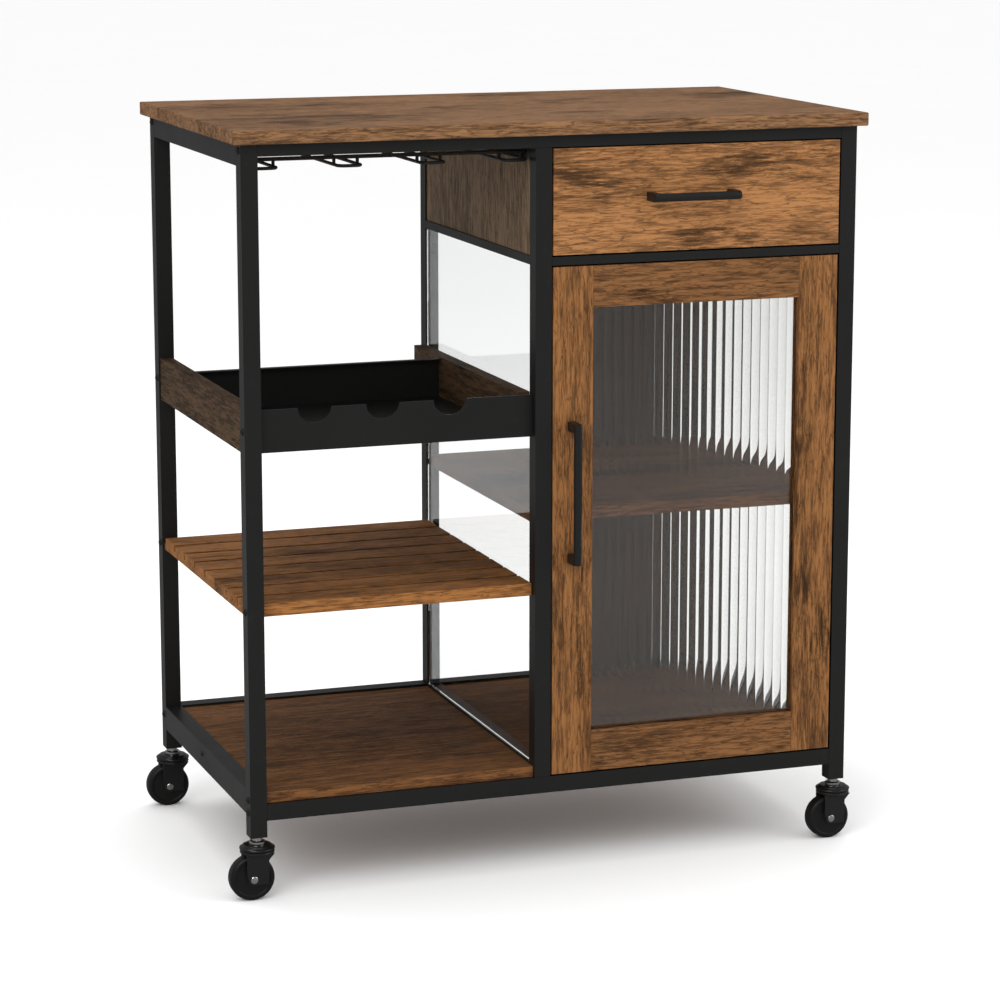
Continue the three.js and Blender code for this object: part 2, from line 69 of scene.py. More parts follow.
def area_light(name, location, size, power):
    """A soft square light that faces the middle of the cart."""
    data = bpy.data.lights.new(name, "AREA")
    data.shape = "SQUARE"
    data.size = size
    data.energy = power
    light = bpy.data.objects.new(name, data)
    light.location = location
    direction = Vector((0.0, 0.0, 0.45)) - Vector(location)
    light.rotation_euler = direction.to_track_quat("-Z", "Y").to_euler()
    bpy.context.scene.collection.objects.link(light)


SKY = 1.06  # strength of the surroundings
MIRRORED_SKY = 0.26  # the same, as shiny things mirror it


def make_studio():
    """Even white surroundings, which shiny things mirror as grey, and three soft lights."""
    world = bpy.data.worlds.new("studio")
    world.use_nodes = True
    tree = world.node_tree
    background = tree.nodes["Background"]
    background.inputs["Color"].default_value = (1.0, 1.0, 1.0, 1.0)
    darker = maths(tree, "MULTIPLY", mirrored(tree), SKY - MIRRORED_SKY)
    strength = maths(tree, "SUBTRACT", SKY, darker)
    tree.links.new(strength, background.inputs["Strength"])
    bpy.context.scene.world = world
    bpy.context.scene.view_settings.view_transform = "Standard"
    area_light("key_light", (-2.2, -2.6, 3.0), 2.4, 60.0)
    area_light("fill_light", (2.8, -1.8, 1.8), 2.4, 25.0)
    area_light("top_light", (0.0, 0.6, 3.4), 2.4, 30.0)


# ---------------------------------------------------------------- node helpers


def node(tree, kind, inputs=None, **settings):
    """Adds a node. inputs maps a socket's name or number to a value or to another socket."""
    made = tree.nodes.new(kind)
    for key, value in settings.items():
        setattr(made, key, value)
    for key, value in (inputs or {}).items():
        if isinstance(value, bpy.types.NodeSocket):
            tree.links.new(value, made.inputs[key])
        else:
            made.inputs[key].default_value = value
    return made


def maths(tree, operation, a, b=0.0, clamp=False):
    """One number out of two."""
    made = node(tree, "ShaderNodeMath", {0: a, 1: b}, operation=operation, use_clamp=clamp)
    return made.outputs[0]


def ramp(tree, value, low, high):
    """value, eased from 0 at low to 1 at high."""
    made = node(
        tree,
        "ShaderNodeMapRange",
        {"Value": value, "From Min": low, "From Max": high},
        interpolation_type="SMOOTHSTEP",
    )
    return made.outputs["Result"]


def mirrored(tree):
    """1 for rays that a shiny surface sends back, 0 for all others."""
    path = tree.nodes.new("ShaderNodeLightPath")
    through = maths(tree, "SUBTRACT", 1.0, path.outputs["Is Transmission Ray"])
    return maths(tree, "MULTIPLY", path.outputs["Is Glossy Ray"], through)


def mix_colour(tree, factor, a, b):
    """a at factor 0, b at factor 1."""
    made = node(tree, "ShaderNodeMix", data_type="RGBA")
    for socket, value in ((0, factor), (6, a), (7, b)):
        if isinstance(value, bpy.types.NodeSocket):
            tree.links.new(value, made.inputs[socket])
        else:
            made.inputs[socket].default_value = value
    return made.outputs[2]


def stretched(tree, vector, scale):
    """The coordinates times a scale on each axis."""
    made = node(tree, "ShaderNodeMapping", {"Vector": vector, "Scale": scale})
    return made.outputs["Vector"]


def noise(tree, vector, scale, detail=3.0, roughness=0.55, distortion=0.0):
    """A noise value about 0.5."""
    made = node(
        tree,
        "ShaderNodeTexNoise",
        {
            "Vector": vector,
            "Scale": scale,
            "Detail": detail,
            "Roughness": roughness,
            "Distortion": distortion,
        },
    )
    return made.outputs["Fac"]


def new_group(name, inputs, outputs):
    """An empty shader group with named sockets. Returns its tree, its input and its output."""
    tree = bpy.data.node_groups.new(name, "ShaderNodeTree")
    for socket, kind in inputs.items():
        tree.interface.new_socket(socket, in_out="INPUT", socket_type=kind)
    for socket, kind in outputs.items():
        tree.interface.new_socket(socket, in_out="OUTPUT", socket_type=kind)
    return tree, tree.nodes.new("NodeGroupInput"), tree.nodes.new("NodeGroupOutput")


FLOAT, COLOUR, VECTOR = "NodeSocketFloat", "NodeSocketColor", "NodeSocketVector"


def make_woodgrain():
    """Rustic wood whose grain runs along the first coordinate: broad bands of tone, fine
    broken streaks, stains where the streaks turn dark, hairlines, thin cracks and knots."""
    tree, given, result = new_group(
        "woodgrain",
        {"Vector": VECTOR, "Light": COLOUR, "Dark": COLOUR, "Mark": COLOUR},
        {"Color": COLOUR, "Roughness": FLOAT, "Height": FLOAT},
    )
    vector = given.outputs["Vector"]
    broad = noise(tree, stretched(tree, vector, (2.2, 14.0, 14.0)), 1.0, 3.0, 0.55, 0.4)
    streaks = noise(tree, stretched(tree, vector, (11.0, 120.0, 120.0)), 1.0, 5.0, 0.68, 0.3)
    dashes = noise(tree, stretched(tree, vector, (38.0, 430.0, 430.0)), 1.0, 4.0, 0.75, 0.3)
    stains = noise(tree, stretched(tree, vector, (5.0, 15.0, 15.0)), 1.0, 4.0, 0.60, 0.6)
    stained = ramp(tree, stains, 0.50, 0.68)

    tone = maths(tree, "MULTIPLY", broad, 0.30)
    tone = maths(tree, "ADD", tone, maths(tree, "MULTIPLY", streaks, 0.50))
    tone = maths(tree, "ADD", tone, maths(tree, "MULTIPLY", dashes, 0.85))
    tone = maths(tree, "SUBTRACT", tone, maths(tree, "MULTIPLY", stained, 0.07))
    body = mix_colour(
        tree, ramp(tree, tone, 0.71, 0.93), given.outputs["Dark"], given.outputs["Light"]
    )

    cell = node(
        tree,
        "ShaderNodeTexVoronoi",
        {"Vector": stretched(tree, vector, (3.6, 12.0, 12.0)), "Scale": 1.0},
    )
    chosen = maths(tree, "GREATER_THAN", cell.outputs["Color"], 0.72)
    away = maths(tree, "ADD", cell.outputs["Distance"], maths(tree, "MULTIPLY", dashes, 0.22))
    knots = maths(tree, "MULTIPLY", ramp(tree, away, 0.34, 0.16), chosen)

    field = noise(tree, stretched(tree, vector, (24.0, 110.0, 110.0)), 1.0, 2.0, 0.6, 1.4)
    ridge = maths(tree, "ABSOLUTE", maths(tree, "SUBTRACT", field, 0.5))
    cracks = maths(tree, "MULTIPLY", ramp(tree, ridge, 0.030, 0.006), stained)

    strands = noise(tree, stretched(tree, vector, (20.0, 180.0, 180.0)), 1.0, 2.0, 0.5, 0.5)
    edge = maths(tree, "ABSOLUTE", maths(tree, "SUBTRACT", strands, 0.5))
    hairs = maths(tree, "MULTIPLY", ramp(tree, edge, 0.034, 0.006), 0.50)

    burnt = maths(tree, "SUBTRACT", maths(tree, "MULTIPLY", stained, 0.10), tone)
    pores = maths(tree, "MULTIPLY", ramp(tree, burnt, -0.74, -0.54), 0.85)
    marks = maths(tree, "MAXIMUM", pores, maths(tree, "MULTIPLY", cracks, 0.75))
    marks = maths(tree, "MAXIMUM", marks, maths(tree, "MULTIPLY", knots, 0.60))
    marks = maths(tree, "MAXIMUM", marks, hairs)
    colour = mix_colour(tree, marks, body, given.outputs["Mark"])
    tree.links.new(colour, result.inputs["Color"])

    roughness = maths(tree, "ADD", 0.52, maths(tree, "MULTIPLY", streaks, 0.22))
    tree.links.new(roughness, result.inputs["Roughness"])
    height = maths(tree, "SUBTRACT", maths(tree, "MULTIPLY", tone, 0.3), marks)
    tree.links.new(height, result.inputs["Height"])
    return tree


def make_coating():
    """Powder coat: an even tone that drifts slightly, with a fine orange-peel surface."""
    tree, given, result = new_group(
        "coating",
        {"Vector": VECTOR, "Base": COLOUR, "Worn": COLOUR, "Roughness": FLOAT},
        {"Color": COLOUR, "Roughness": FLOAT, "Height": FLOAT},
    )
    vector = given.outputs["Vector"]
    drift = noise(tree, vector, 7.0, 4.0, 0.6)
    peel = noise(tree, vector, 900.0, 2.0, 0.5)
    scuffs = ramp(tree, noise(tree, vector, 60.0, 6.0, 0.7), 0.60, 0.75)
    factor = maths(tree, "ADD", maths(tree, "MULTIPLY", drift, 0.5), scuffs, clamp=True)
    colour = mix_colour(tree, factor, given.outputs["Base"], given.outputs["Worn"])
    tree.links.new(colour, result.inputs["Color"])
    spread = maths(tree, "MULTIPLY", maths(tree, "SUBTRACT", drift, 0.5), 0.25)
    rough = maths(tree, "ADD", given.outputs["Roughness"], spread)
    rough = maths(tree, "ADD", rough, maths(tree, "MULTIPLY", scuffs, 0.08))
    tree.links.new(rough, result.inputs["Roughness"])
    tree.links.new(peel, result.inputs["Height"])
    return tree


WOODGRAIN = make_woodgrain()
COATING = make_coating()


def new_material(name, turn=(0.0, 0.0, 0.0), shift=(0.0, 0.0, 0.0)):
    """A material with a Principled shader. Returns the material, its tree, the shader and
    the object's coordinates, turned so that a grain runs along the first one."""
    material = bpy.data.materials.new(name)
    material.use_nodes = True
    tree = material.node_tree
    shader = tree.nodes["Principled BSDF"]
    coordinates = tree.nodes.new("ShaderNodeTexCoord").outputs["Object"]
    mapping = node(
        tree,
        "ShaderNodeMapping",
        {"Vector": coordinates, "Rotation": turn, "Location": shift},
    )
    return material, tree, shader, mapping.outputs["Vector"]


def attach(tree, shader, effect, strength, distance):
    """Feeds a group's colour, roughness and height to the shader."""
    tree.links.new(effect.outputs["Color"], shader.inputs["Base Color"])
    tree.links.new(effect.outputs["Roughness"], shader.inputs["Roughness"])
    bump = node(
        tree,
        "ShaderNodeBump",
        {"Strength": strength, "Distance": distance, "Height": effect.outputs["Height"]},
    )
    tree.links.new(bump.outputs["Normal"], shader.inputs["Normal"])


# Turns that lay the grain along one axis of the part's frame.
ALONG_X = (0.0, 0.0, 0.0)
ALONG_Y = (0.0, 0.0, -math.pi / 2)
ALONG_Z = (0.0, math.pi / 2, 0.0)


def wood(name, colour, turn=ALONG_X, shift=(0.0, 0.0, 0.0)):
    """Wood about a colour, with the grain along one axis."""
    material, tree, shader, vector = new_material(name, turn=turn, shift=shift)
    effect = node(tree, "ShaderNodeGroup", node_tree=WOODGRAIN)
    tree.links.new(vector, effect.inputs["Vector"])
    for socket, times in (("Light", 1.42), ("Dark", 0.62), ("Mark", 0.14)):
        effect.inputs[socket].default_value = (*(c * times for c in colour), 1.0)
    attach(tree, shader, effect, 0.25, 0.0006)
    shader.inputs["Specular IOR Level"].default_value = 0.10
    return material


def coated(name, base, worn, roughness, metallic=0.0, shine=0.5):
    """A coated, moulded or plated surface. shine is the level of its mirror reflection."""
    material, tree, shader, vector = new_material(name)
    effect = node(tree, "ShaderNodeGroup", node_tree=COATING)
    tree.links.new(vector, effect.inputs["Vector"])
    effect.inputs["Base"].default_value = (*base, 1.0)
    effect.inputs["Worn"].default_value = (*worn, 1.0)
    effect.inputs["Roughness"].default_value = roughness
    attach(tree, shader, effect, 0.12, 0.0002)
    shader.inputs["Metallic"].default_value = metallic
    shader.inputs["Specular IOR Level"].default_value = shine
    return material


def glass(name, tint, smears):
    """Clear glass, polished, with faint smears."""
    material, tree, shader, vector = new_material(name)
    patches = noise(tree, vector, 9.0, 4.0, 0.6)
    amount = maths(tree, "MULTIPLY", ramp(tree, patches, 0.45, 0.75), smears)
    tree.links.new(maths(tree, "ADD", amount, 0.004), shader.inputs["Roughness"])
    shader.inputs["Base Color"].default_value = (*tint, 1.0)
    shader.inputs["Transmission Weight"].default_value = 1.0
    shader.inputs["IOR"].default_value = 1.45
    return material


TOP_WOOD = wood("tabletop_wood", (0.168, 0.084, 0.037))
DRAWER_WOOD = wood("drawer_wood", (0.245, 0.110, 0.040), shift=(0.3, 0.7, 0.1))
FRONT_WOOD_X = wood("front_wood_across", (0.140, 0.062, 0.022))
FRONT_WOOD_Z = wood("front_wood_upright", (0.172, 0.074, 0.024), ALONG_Z, (0.4, 0.1, 0.2))


def slat_material():
    """Slat wood whose faces inside the narrow gaps, below the top and behind the front,
    are painted near black: painted shade for the gaps, where little light reaches."""
    material = wood("slat_wood", (0.205, 0.084, 0.024), shift=(0.1, 0.5, 0.3))
    tree = material.node_tree
    shader = tree.nodes["Principled BSDF"]
    unshaded_slat = shader.inputs["Base Color"].links[0].from_socket
    coordinates = tree.nodes.new("ShaderNodeTexCoord").outputs["Object"]
    at = node(tree, "ShaderNodeSeparateXYZ", {"Vector": coordinates})
    left, front, top = place((3.0, 10.0, 353.0)).tolist()
    below = maths(tree, "LESS_THAN", at.outputs["Z"], top - 0.001)
    behind = maths(tree, "GREATER_THAN", at.outputs["Y"], front + 0.002)
    inside = maths(tree, "GREATER_THAN", at.outputs["X"], left + 0.00225)
    # Painted shade: the faces below the top, behind the front and in from the left edge are
    # darkened to near black.
    painted_gap_shade = maths(tree, "MULTIPLY", maths(tree, "MULTIPLY", below, behind), inside)
    painted_gap_shade = maths(tree, "MULTIPLY", painted_gap_shade, 0.88)
    colour = mix_colour(tree, painted_gap_shade, unshaded_slat, (0.008, 0.006, 0.005, 1.0))
    tree.links.new(colour, shader.inputs["Base Color"])
    return material


SLAT_WOOD = slat_material()
BOARD_WOOD = wood("board_wood", (0.125, 0.053, 0.018), shift=(0.2, 0.0, 0.4))
DARK_WOOD_X = wood("dark_wood_across", (0.080, 0.046, 0.024))
DARK_WOOD_Y = wood("dark_wood_deep", (0.058, 0.033, 0.016), ALONG_Y)
PANEL_WOOD = wood("panel_wood", (0.130, 0.085, 0.050), ALONG_Z)
BACK_WOOD = wood("back_wood", (0.065, 0.040, 0.024), ALONG_Z)
BLACK = ((0.0075, 0.0073, 0.0070), (0.0120, 0.0115, 0.0110))
BLACK_STEEL = coated("black_steel", *BLACK, 0.40, shine=0.30)
TRAY_STEEL = coated("tray_steel", *BLACK, 0.38, shine=0.28)
FORK_STEEL = coated("fork_steel", (0.004, 0.004, 0.004), (0.008, 0.008, 0.008), 0.24, shine=0.55)
RUBBER = coated("wheel_rubber", (0.004, 0.004, 0.004), (0.009, 0.009, 0.009), 0.42, shine=0.32)
BRIGHT_STEEL = coated("bright_steel", (0.62, 0.61, 0.59), (0.45, 0.44, 0.42), 0.22, 1.0)
BARE_STEEL = coated("bare_steel", (0.50, 0.50, 0.49), (0.36, 0.36, 0.35), 0.36, 1.0)
CLEAR_GLASS = glass("clear_glass", (0.985, 0.995, 0.99), 0.015)
RIBBED_GLASS = glass("ribbed_glass", (0.90, 0.895, 0.88), 0.01)


def floor_material():
    """A pale matte floor that dark shiny things mirror as grey."""
    material, tree, shader, vector = new_material("studio_floor")
    drift = mix_colour(
        tree, noise(tree, vector, 2.0), (0.95, 0.95, 0.95, 1.0), (0.93, 0.93, 0.93, 1.0)
    )
    colour = mix_colour(tree, mirrored(tree), drift, (0.22, 0.22, 0.22, 1.0))
    tree.links.new(colour, shader.inputs["Base Color"])
    shader.inputs["Roughness"].default_value = 0.9
    shader.inputs["Specular IOR Level"].default_value = 0.1
    return material


FLOOR = floor_material()


# ---------------------------------------------------------------- mesh helpers


def new_piece(name, verts, faces, material, body, replaces=(), smooth=True):
    """A closed mesh that rides on a body and stands for the nodes in replaces."""
    mesh = bpy.data.meshes.new(name)
    mesh.from_pydata([tuple(v) for v in np.asarray(verts, float)], [], faces)
    mesh.validate()
    mesh.polygons.foreach_set("use_smooth", [smooth] * len(mesh.polygons))
    mesh.materials.append(material)
    piece = bpy.data.objects.new(name, mesh)
    bpy.context.scene.collection.objects.link(piece)
    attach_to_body(piece, body)
    if replaces:
        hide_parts(*replaces)
    return piece


def grid_faces(rows, columns, close_rows=False):
    """Quads of a grid whose columns close on themselves. Vertex (i, j) is i * columns + j."""
    last = rows if close_rows else rows - 1
    i, j = np.meshgrid(np.arange(last), np.arange(columns), indexing="ij")
    down, right = (i + 1) % rows, (j + 1) % columns
    quads = np.stack(
        [i * columns + j, i * columns + right, down * columns + right, down * columns + j], -1
    )
    return quads.reshape(-1, 4).tolist()


def merge(*parts):
    """Several (verts, faces) as one."""
    verts, faces, start = [], [], 0
    for v, f in parts:
        verts.append(np.asarray(v, float))
        faces += [[k + start for k in face] for face in f]
        start += len(v)
    return np.vstack(verts), faces


def turned(profile, centre, axis="z", steps=64):
    """The profile's (radius, height) points turned round an axis through centre: the point
    at height h and angle a lies at radius r * (cos a, sin a). The profile goes from the
    axis upwards on the outside and back to the axis, or closes on itself as a ring."""
    profile = np.asarray(profile, float)
    closed = profile[0][0] > 1e-9
    inner = profile if closed else profile[1:-1]
    angle = np.linspace(0, 2 * np.pi, steps, endpoint=False)
    r, h = inner[:, :1], inner[:, 1:]
    u, v, w = r * np.cos(angle), r * np.sin(angle), h + 0 * angle
    order = {"z": (u, v, w), "y": (v, w, u), "x": (w, u, v)}[axis]
    verts = np.stack(order, -1).reshape(-1, 3) + centre
    faces = grid_faces(len(inner), steps, close_rows=closed)
    if closed:
        return verts, faces
    ends = {"z": (0, 0, 1), "y": (0, 1, 0), "x": (1, 0, 0)}[axis]
    low = np.array(centre) + np.array(ends) * profile[0][1]
    high = np.array(centre) + np.array(ends) * profile[-1][1]
    n, top = len(verts), len(verts) - steps
    verts = np.vstack([verts, low, high])
    k = np.arange(steps)
    faces += np.stack([np.full(steps, n), (k + 1) % steps, k], -1).tolist()
    faces += np.stack([np.full(steps, n + 1), top + k, top + (k + 1) % steps], -1).tolist()
    return verts, faces


def rod(path, radius, sides=20):
    """A round rod along a path: each path point carries a circle of the radius, square to
    the path, and both ends are rounded off by three smaller circles."""
    path = np.asarray(path, float)
    ahead = np.gradient(path, axis=0)
    ahead /= np.linalg.norm(ahead, axis=1)[:, None]
    side = np.cross(ahead[0], [0.0, 0.0, 1.0])
    if np.linalg.norm(side) < 1e-6:
        side = np.array([1.0, 0.0, 0.0])
    firsts = []
    for direction in ahead:  # each circle's first axis is the last one's, kept square
        side = side - direction * (side @ direction)
        side = side / np.linalg.norm(side)
        firsts.append(side)
    first = np.array(firsts)
    second = np.cross(ahead, first)
    end_angles = np.array([0.35, 0.75, 1.15])
    reach = radius * 0.35  # length of each rounded end
    ease, back = np.sin(end_angles), np.cos(end_angles) * reach
    centres = [path[0] + ahead[0] * (reach - b) for b in back]
    centres += list(path[1:-1])
    centres += [path[-1] - ahead[-1] * (reach - b) for b in back[::-1]]
    size = [*(radius * ease), *([radius] * (len(path) - 2)), *(radius * ease[::-1])]
    pick = [0] * 3 + list(range(1, len(path) - 1)) + [len(path) - 1] * 3
    angle = np.linspace(0, 2 * np.pi, sides, endpoint=False)
    rings = (
        np.array(centres)[:, None]
        + np.array(size)[:, None, None]
        * (
            first[pick][:, None] * np.cos(angle)[None, :, None]
            + second[pick][:, None] * np.sin(angle)[None, :, None]
        )
    )
    verts = rings.reshape(-1, 3)
    faces = grid_faces(len(size), sides)
    n = len(verts)
    faces.append(list(range(sides))[::-1])
    faces.append(list(range(n - sides, n)))
    return verts, faces


def slab(outline, low, high, axis, origin=(0.0, 0.0, 0.0)):
    """A flat outline, given anticlockwise in the two axes after `axis`, between low and high."""
    outline = np.asarray(outline, float)
    n = len(outline)
    u, v = outline[:, 0], outline[:, 1]
    rings = []
    for w in (low, high):
        w = np.full(n, float(w))
        rings.append({"x": np.stack([w, u, v], -1), "y": np.stack([v, w, u], -1),
                      "z": np.stack([u, v, w], -1)}[axis])
    verts = np.vstack(rings) + np.asarray(origin, float)
    faces = [list(range(n))[::-1], list(range(n, 2 * n))]
    faces += [[k, (k + 1) % n, n + (k + 1) % n, n + k] for k in range(n)]
    return verts, faces


def brick(low, high):
    """A block between two corners."""
    (x0, y0, z0), (x1, y1, z1) = low, high
    return slab([(x0, y0), (x1, y0), (x1, y1), (x0, y1)], z0, z1, "z")


def soften(piece, width_mm, segments=2, angle=30):
    """Rounds a piece's sharp edges."""
    bevel = piece.modifiers.new("soft_edges", "BEVEL")
    bevel.width = width_mm * MM
    bevel.segments = segments
    bevel.limit_method = "ANGLE"
    bevel.angle_limit = math.radians(angle)
    bevel.harden_normals = True
    piece.data.polygons.foreach_set("use_smooth", [True] * len(piece.data.polygons))
    return piece


def sharpen(piece, angle=35):
    """Marks the edges between faces that meet at more than the angle, so they stay crisp."""
    piece.data.set_sharp_from_angle(angle=math.radians(angle))
    return piece


# ---------------------------------------------------------------- CAD nodes that stay


def dress(names, material, edge_mm=None):
    """Gives CAD nodes a material and, if asked, softened edges."""
    for name in names:
        piece = NODES[name]
        piece.data.materials.clear()
        piece.data.materials.append(material)
        if edge_mm:
            bevel = piece.modifiers.new("soft_edges", "BEVEL")
            bevel.width = edge_mm * MM
            bevel.segments = 2
            bevel.limit_method = "ANGLE"
            bevel.angle_limit = math.radians(40)


tubes = [n for n in NODES if n.startswith(("post_", "top_rail", "bottom_rail", "drawer_rail"))]
dress(tubes, BLACK_STEEL, 0.7)
dress(["wine_tray"], TRAY_STEEL, 0.3)
dress(["tabletop"], TOP_WOOD)
dress(["bottom_board_left", "cupboard_floor", "cupboard_shelf"], BOARD_WOOD, 0.7)
dress(["slatted_shelf"], SLAT_WOOD, 0.7)
dress(["tray_board_left", "tray_board_right"], DARK_WOOD_Y, 0.8)
dress(["drawer_side_left", "drawer_side_right"], DARK_WOOD_Y, 0.5)
dress(["drawer_back", "drawer_bottom"], DARK_WOOD_X, 0.4)
dress(["drawer_panel_left", "drawer_panel_right"], PANEL_WOOD, 0.4)
dress(["cupboard_back"], BACK_WOOD, 0.4)
dress(["drawer_front"], DRAWER_WOOD, 0.8)
dress(["door_rail_top", "door_rail_bottom"], FRONT_WOOD_X, 0.8)
dress(["door_stile_left", "door_stile_right"], FRONT_WOOD_Z, 0.8)
dress(["side_glass_left", "side_glass_right"], CLEAR_GLASS, 0.3)
dress(["drawer_runner_left", "drawer_runner_right"], BARE_STEEL, 0.5)


# ---------------------------------------------------------------- ribbed glass


def make_ribbed_glass(ribs=23, steps=20):
    """The pane's front face lies at y = front - height * (0.65 * (1 - u^2) + 0.35 * (1 - u^6))
    over each rib, where u runs from -1 to 1 across it, so the ribs meet in narrow grooves;
    the back and the margins in the door's grooves are flat."""
    left, right = 424.0, 687.7
    bottom, top = 160.3, 688.7
    front, back, height, margin = 7.15, 11.7, 0.85, 7.7
    t = np.arange(ribs * steps + 1) / steps
    x = left + (right - left) * t / ribs
    u = np.abs(2 * (t - np.floor(t)) - 1)
    y = front - height * (0.65 * (1 - u**2) + 0.35 * (1 - u**6))
    section = np.vstack([
        [[left - margin, front]],
        np.stack([x, y], -1),
        [[right + margin, front], [right + margin, back], [left - margin, back]],
    ])
    verts, faces = slab(section, bottom, top, "z")
    piece = new_piece(
        "fluted_pane", place(verts), faces, RIBBED_GLASS, "door", ["door_glass"]
    )
    sharpen(piece, 50)


make_ribbed_glass()


# ---------------------------------------------------------------- bar handles


def make_handle(name, body, node_name, along, low, high, across):
    """A round bar, from low to high along one axis, x or z, on two square-cut feet."""
    bar_y, bar_radius, points = -23.0, 4.95, 24
    foot_front, foot_back = -22.5, -0.3
    steps = np.linspace(low, high, points)
    level, beside = np.full(points, bar_y), np.full(points, across)
    if along == "x":
        path, length, half = np.stack([steps, level, beside], -1), 9.0, 5.2
        feet = [brick((a, foot_front, across - half), (a + length, foot_back, across + half))
                for a in (low, high - length)]
    else:
        path, length, half = np.stack([beside, level, steps], -1), 11.0, 4.8
        feet = [brick((across - half, foot_front, a), (across + half, foot_back, a + length))
                for a in (low, high - length)]
    verts, faces = rod(path, bar_radius, 36)
    bar = new_piece(name + "_bar", place(verts), faces, BLACK_STEEL, body,
                    [node_name])
    sharpen(bar)
    verts, faces = merge(*feet)
    foot = new_piece(name + "_feet", place(verts), faces, BLACK_STEEL, body)
    soften(foot, 0.8, 3)


make_handle("drawer_pull", "drawer", "drawer_handle", "x", 490.0, 601.0, 809.0)
make_handle("door_pull", "door", "door_handle", "z", 377.0, 547.0, 397.0)


# ---------------------------------------------------------------- stemware rack


LOOP_HALF, LOOP_Z, WIRE_RADIUS = 14.0, 854.0, 2.0


def rack_loop(centre):
    """One wire loop: down at the back, forward at one height, round the front, and back."""
    half, z, bend = LOOP_HALF, LOOP_Z, 9.0
    front, back, bar = 24.0, 386.0, 862.0
    side = [(-half, back, bar), (-half, back, z + 4.0)]
    side += [
        (-half, back - 4.0 * (1 - math.cos(a)), z + 4.0 * (1 - math.sin(a)))
        for a in np.linspace(0.3, math.pi / 2, 5)
    ]
    side += [(-half, y, z) for y in np.linspace(back - 20.0, front + bend + 4.0, 24)]
    side += [
        (-half + bend * (1 - math.cos(a)), front + bend * (1 - math.sin(a)), z)
        for a in np.linspace(0.0, math.pi / 2, 9)
    ]
    other = [(-x, y, h) for x, y, h in reversed(side)]
    return rod(np.array(side + other[1:]) + (centre, 0.0, 0.0), WIRE_RADIUS, 14)


def make_rack():
    """Four wire loops hanging from two flat bars, with a short weld stub at each crossing."""
    centres = [36.0 + i * 100.0 for i in range(4)]
    wires = [rack_loop(c) for c in centres]
    for c in centres:
        for side in (-LOOP_HALF, LOOP_HALF):
            stub = [(c + side, 44.0, z) for z in np.linspace(LOOP_Z, 861.4, 5)]
            wires.append(rod(stub, WIRE_RADIUS, 14))
    verts, faces = merge(*wires)
    loops = new_piece("rack_loops", place(verts), faces, BLACK_STEEL, "frame",
                      ["stemware_rack"])
    sharpen(loops, 40)
    bars = [brick((20.3, y, 861.0), (351.7, y + 20.0, 864.0)) for y in (34.0, 376.0)]
    verts, faces = merge(*bars)
    flat = new_piece("rack_bars", place(verts), faces, BLACK_STEEL, "frame")
    soften(flat, 0.6)


make_rack()


# ---------------------------------------------------------------- casters


AXLE_X, AXLE_Z = -7.5, 27.0  # the axle's place behind the swivel's axis and above the floor


def make_wheel(name, body, centre, node_name):
    """A solid wheel turned about Y: crowned tread, shallow rim groove and a raised hub."""
    half = 9.0
    face = [
        (3.4, half + 1.0), (6.6, half + 1.0), (7.2, half + 0.4), (7.6, half - 1.0),
        (9.0, half - 1.3), (20.4, half - 0.9), (21.0, half - 0.2), (21.8, half),
        (23.4, half), (24.6, half - 0.3), (25.7, half - 1.1), (26.5, half - 2.4),
        (26.85, half - 4.2), (27.0, half - 6.5),
    ]
    lower = [(r, -w) for r, w in reversed(face)]
    verts, faces = turned((face + lower)[::-1], centre, "y", 96)
    wheel = new_piece(name, place(verts), faces, RUBBER, body, [node_name])
    sharpen(wheel, 40)


def leg_outline():
    """A fork leg in Z and X about the swivel's axis: wide under the crown, a notch at the
    front, a slanting foot, and round about the axle."""
    ear = 7.0
    points = [(57.5, -16.0), (57.5, 18.0), (49.5, 11.0), (20.5, 10.5), (AXLE_Z - ear, AXLE_X + 2)]
    for a in np.linspace(0, math.pi / 2, 13):
        points.append((AXLE_Z - ear * math.cos(a), AXLE_X - ear * math.sin(a)))
    points.append((34.0, -16.0))
    return points


def make_fork(name, body, centre, node_name):
    """The turning half: a rimmed crown, two legs with rounded edges, and the axle."""
    crown = [
        (0, 55.5), (17.6, 55.5), (19.4, 56.2), (20.4, 57.4), (20.5, 58.3), (19.8, 59.2),
        (19.9, 60.2), (19.4, 60.5), (0, 60.5),
    ]
    verts, faces = turned(crown, centre, "z", 72)
    top = new_piece(name + "_crown", place(verts), faces, FORK_STEEL, body,
                    [node_name])
    sharpen(top, 50)
    outline = leg_outline()
    legs = [slab(outline, lo, hi, "y", centre) for lo, hi in ((-14.0, -11.5), (11.5, 14.0))]
    verts, faces = merge(*legs)
    plates = new_piece(name + "_legs", place(verts), faces, FORK_STEEL, body)
    soften(plates, 0.7, 3)
    axle = [
        (0, -16.0), (1.6, -16.0), (2.0, -15.4), (3.6, -15.4), (4.3, -14.9), (4.3, -14.05),
        (3.0, -14.05), (3.0, 14.05), (4.3, 14.05), (4.3, 14.9), (3.6, 15.4), (2.0, 15.4),
        (1.6, 16.0), (0, 16.0),
    ]
    verts, faces = turned(axle, np.array(centre) + (AXLE_X, 0.0, AXLE_Z), "y", 40)
    pin = new_piece(name + "_axle", place(verts), faces, BRIGHT_STEEL, body)
    sharpen(pin, 35)


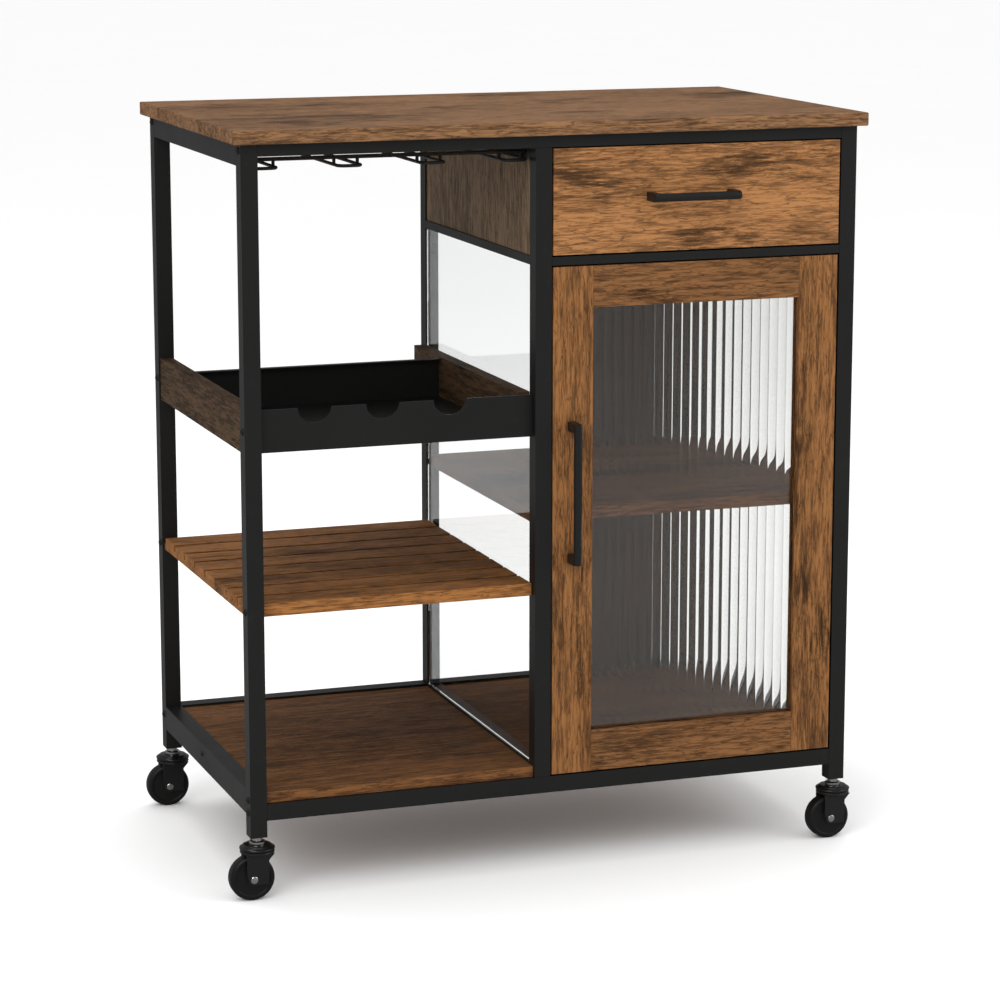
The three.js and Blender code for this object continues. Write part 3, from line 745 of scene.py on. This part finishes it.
def make_stem(name, centre, node_name):
    """The fixed half: a domed black cap with a rolled rim, and the bright stem above it."""
    cap = [
        (0, 61.0), (20.0, 61.0), (20.8, 61.6), (21.0, 62.5), (20.8, 63.4), (20.0, 64.0),
        (18.6, 64.3), (17.8, 65.0), (16.8, 66.4), (14.5, 67.0), (0, 67.0),
    ]
    verts, faces = turned(cap, centre, "z", 72)
    race = new_piece(name + "_cap", place(verts), faces, FORK_STEEL, "frame",
                     [node_name])
    sharpen(race, 50)
    stem = [
        (0, 66.9), (9.0, 66.9), (9.6, 67.6), (9.6, 70.2), (8.8, 71.0), (6.0, 71.4),
        (6.0, 75.7), (5.0, 78.0), (5.0, 99.0), (4.4, 100.0), (0, 100.0),
    ]
    verts, faces = turned(stem, centre, "z", 48)
    pin = new_piece(name + "_pin", place(verts), faces, BRIGHT_STEEL, "frame")
    sharpen(pin, 40)


for corner, x, y in (
    ("front_left", 10.0, 10.0),
    ("front_right", 750.0, 10.0),
    ("back_left", 10.0, 420.0),
    ("back_right", 750.0, 420.0),
):
    make_stem(f"stem_{corner}", (x, y, 0.0), f"caster_stem_{corner}")
    make_fork(f"fork_{corner}", f"fork_{corner}", (x, y, 0.0), f"caster_fork_{corner}")
    axle = (x + AXLE_X, y, AXLE_Z)
    make_wheel(f"wheel_{corner}", f"wheel_{corner}", axle, f"caster_wheel_{corner}")


# ---------------------------------------------------------------- screws


def dome(centre, facing, radius=4.3, height=2.2):
    """A domed screw head with a sunk hexagon-sized socket, turned about X."""
    profile = [
        (0, -0.2), (radius, -0.2), (radius, 0.5), (radius * 0.92, 1.1), (radius * 0.72, 1.7),
        (radius * 0.5, height), (radius * 0.36, height), (radius * 0.33, height - 1.0),
        (0, height - 1.0),
    ]
    verts, faces = turned(profile, (0.0, 0.0, 0.0), "x", 28)
    if facing < 0:
        verts = verts * (-1.0, 1.0, 1.0)
        faces = [f[::-1] for f in faces]
    return verts + centre, faces


def make_screws():
    """Screws in the left faces of the left posts and rail and, mirrored, on the right posts."""
    heads = []
    for z in (876.0, 556.0, 345.0, 120.0):
        for y in (10.0, 420.0):
            heads.append(dome((0.0, y, z), -1))
    heads.append(dome((0.0, 10.0, 105.0), -1))
    heads.append(dome((0.0, 225.0, 119.0), -1, 3.0, 1.6))
    for z in (876.0, 737.0, 118.0):
        for y in (10.0, 420.0):
            heads.append(dome((760.0, y, z), 1))
    verts, faces = merge(*heads)
    screws = new_piece("frame_screws", place(verts), faces, BLACK_STEEL, "frame")
    sharpen(screws, 45)


make_screws()


# ---------------------------------------------------------------- stage


def make_floor():
    """A pale floor that reaches past the picture on all sides."""
    mesh = bpy.data.meshes.new("floor")
    s = 30.0
    mesh.from_pydata([(-s, -s, 0), (s, -s, 0), (s, s, 0), (-s, s, 0)], [], [(0, 1, 2, 3)])
    mesh.materials.append(FLOOR)
    floor = bpy.data.objects.new("floor", mesh)
    bpy.context.scene.collection.objects.link(floor)


make_camera()
make_studio()
make_floor()
